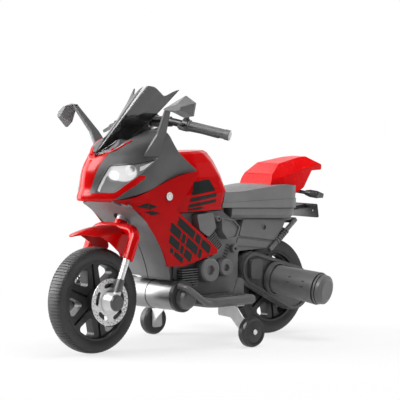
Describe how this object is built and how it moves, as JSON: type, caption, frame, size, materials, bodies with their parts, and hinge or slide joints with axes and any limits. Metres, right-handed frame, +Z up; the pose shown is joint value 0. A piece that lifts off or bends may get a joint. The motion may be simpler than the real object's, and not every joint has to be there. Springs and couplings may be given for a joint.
{
  "type": "kids electric motorbike",
  "caption": "Child-size electric ride-on motorbike with sport fairing, windshield, steering fork, spoked wheels, stabilisers, foot throttle and saddle with tail cowl",
  "frame": {"origin": "on the ground under the middle of the bounding box", "axes": "+X forward along the bike, +Y to the rider's left, +Z up"},
  "size_m": [0.96, 0.5276, 0.697],
  "materials": {
    "red_gloss": "glossy moulded red",
    "grey_satin": "satin grey moulding",
    "seat_grey": "fine-grained grey seat moulding",
    "dark_grey": "satin dark grey moulding",
    "barrel_grey": "satin mid-grey moulding",
    "black_plastic": "satin black moulding",
    "tyre_plastic": "matt black tread band",
    "wheel_black": "satin black wheel moulding",
    "grip_rubber": "matt soft grip",
    "chrome_plate": "bright plated",
    "disc_steel": "silver finish",
    "zinc_steel": "zinc-plated steel",
    "clear_lens": "clear lens",
    "bowl_silver": "metallised reflector",
    "smoke_screen": "dark smoked screen",
    "mirror_face": "mirror film",
    "lamp_red": "translucent red lens",
    "button_red": "glossy red button"
  },
  "bodies": {
    "frame": {"side_fairing_left": "red_gloss", "side_fairing_right": "red_gloss", "nose_panel": "red_gloss", "dash_panel": "red_gloss", "tank_cover": "red_gloss", "tail_cowl": "red_gloss", "upper_fairing_left": "grey_satin", "upper_fairing_right": "grey_satin", "shell_left": "grey_satin", "shell_right": "grey_satin", "seat_pan": "grey_satin", "seat": "seat_grey", "engine_cover_left": "dark_grey", "engine_cover_right": "dark_grey", "swing_cover_left": "dark_grey", "swing_cover_right": "dark_grey", "barrel_left": "barrel_grey", "barrel_right": "barrel_grey", "footboard_left": "black_plastic", "footboard_right": "black_plastic", "mirror_housing_left": "black_plastic", "mirror_housing_right": "black_plastic", "mirror_stem_left": "black_plastic", "mirror_stem_right": "black_plastic", "clamp_rings": "black_plastic", "pipe_stubs": "black_plastic", "turn_signals": "black_plastic", "plate_holder": "black_plastic", "battery": "black_plastic", "cross_pipe_left": "chrome_plate", "cross_pipe_right": "chrome_plate", "stabiliser_bracket_left": "zinc_steel", "stabiliser_bracket_right": "zinc_steel", "rear_axle": "zinc_steel", "headlight_lens_left": "clear_lens", "headlight_lens_right": "clear_lens", "signal_lenses": "clear_lens", "headlight_bowls": "bowl_silver", "windshield": "smoke_screen", "mirror_glasses": "mirror_face", "tail_lamp": "lamp_red"},
    "steering": {"steering_stem": "zinc_steel", "fork_crown": "red_gloss", "front_mudguard": "red_gloss", "fork_tubes": "chrome_plate", "fork_lowers": "dark_grey", "handlebar": "dark_grey", "grips": "grip_rubber", "front_axle": "zinc_steel"},
    "front_wheel_set": {"front_wheel": "wheel_black", "front_tyre": "tyre_plastic", "brake_discs": "disc_steel"},
    "rear_wheel_set": {"rear_wheel": "wheel_black", "rear_tyre": "tyre_plastic"},
    "stabiliser_left": {"stabiliser_wheel_left": "tyre_plastic"},
    "stabiliser_right": {"stabiliser_wheel_right": "tyre_plastic"},
    "lever_left": {"brake_lever_left": "black_plastic"},
    "lever_right": {"brake_lever_right": "black_plastic"},
    "pedal": {"throttle_pedal": "black_plastic"},
    "button": {"power_button": "button_red"}
  },
  "joints": [
    {"name": "steering", "type": "hinge", "parent": "frame", "child": "steering", "pos_m": [0.19042, 0, 0.46], "axis": [-0.3859, 0, 0.9225], "range_deg": [-18, 18]},
    {"name": "front_wheel_spin", "type": "hinge", "parent": "steering", "child": "front_wheel_set", "pos_m": [0.34, 0, 0.14], "axis": [0, 1, 0], "continuous": true},
    {"name": "rear_wheel_spin", "type": "hinge", "parent": "frame", "child": "rear_wheel_set", "pos_m": [-0.3005, 0, 0.133], "axis": [0, 1, 0], "continuous": true},
    {"name": "stabiliser_left_spin", "type": "hinge", "parent": "frame", "child": "stabiliser_left", "pos_m": [-0.0515, 0.1945, 0.041], "axis": [0, 1, 0], "continuous": true},
    {"name": "stabiliser_right_spin", "type": "hinge", "parent": "frame", "child": "stabiliser_right", "pos_m": [-0.0515, -0.1945, 0.041], "axis": [0, 1, 0], "continuous": true},
    {"name": "brake_lever_left", "type": "hinge", "parent": "steering", "child": "lever_left", "pos_m": [0.14109, 0.1272, 0.59298], "axis": [0.062, 0.2683, 0.9613], "range_deg": [0, 7], "stiffness_Nm_per_rad": 1.2, "springref_deg": -11.46},
    {"name": "brake_lever_right", "type": "hinge", "parent": "steering", "child": "lever_right", "pos_m": [0.14109, -0.1272, 0.59298], "axis": [-0.062, 0.2683, -0.9613], "range_deg": [0, 7], "stiffness_Nm_per_rad": 1.2, "springref_deg": -11.46},
    {"name": "throttle_pedal", "type": "hinge", "parent": "frame", "child": "pedal", "pos_m": [-0.034, -0.117, 0.143], "axis": [0, 1, 0], "range_deg": [0, 8], "stiffness_Nm_per_rad": 1, "springref_deg": -17.19},
    {"name": "power_button", "type": "slide", "parent": "frame", "child": "button", "axis": [0.8638, 0, -0.5039], "range_m": [0, 0.002], "stiffness_N_per_m": 400, "springref_m": -0.003}
  ]
}
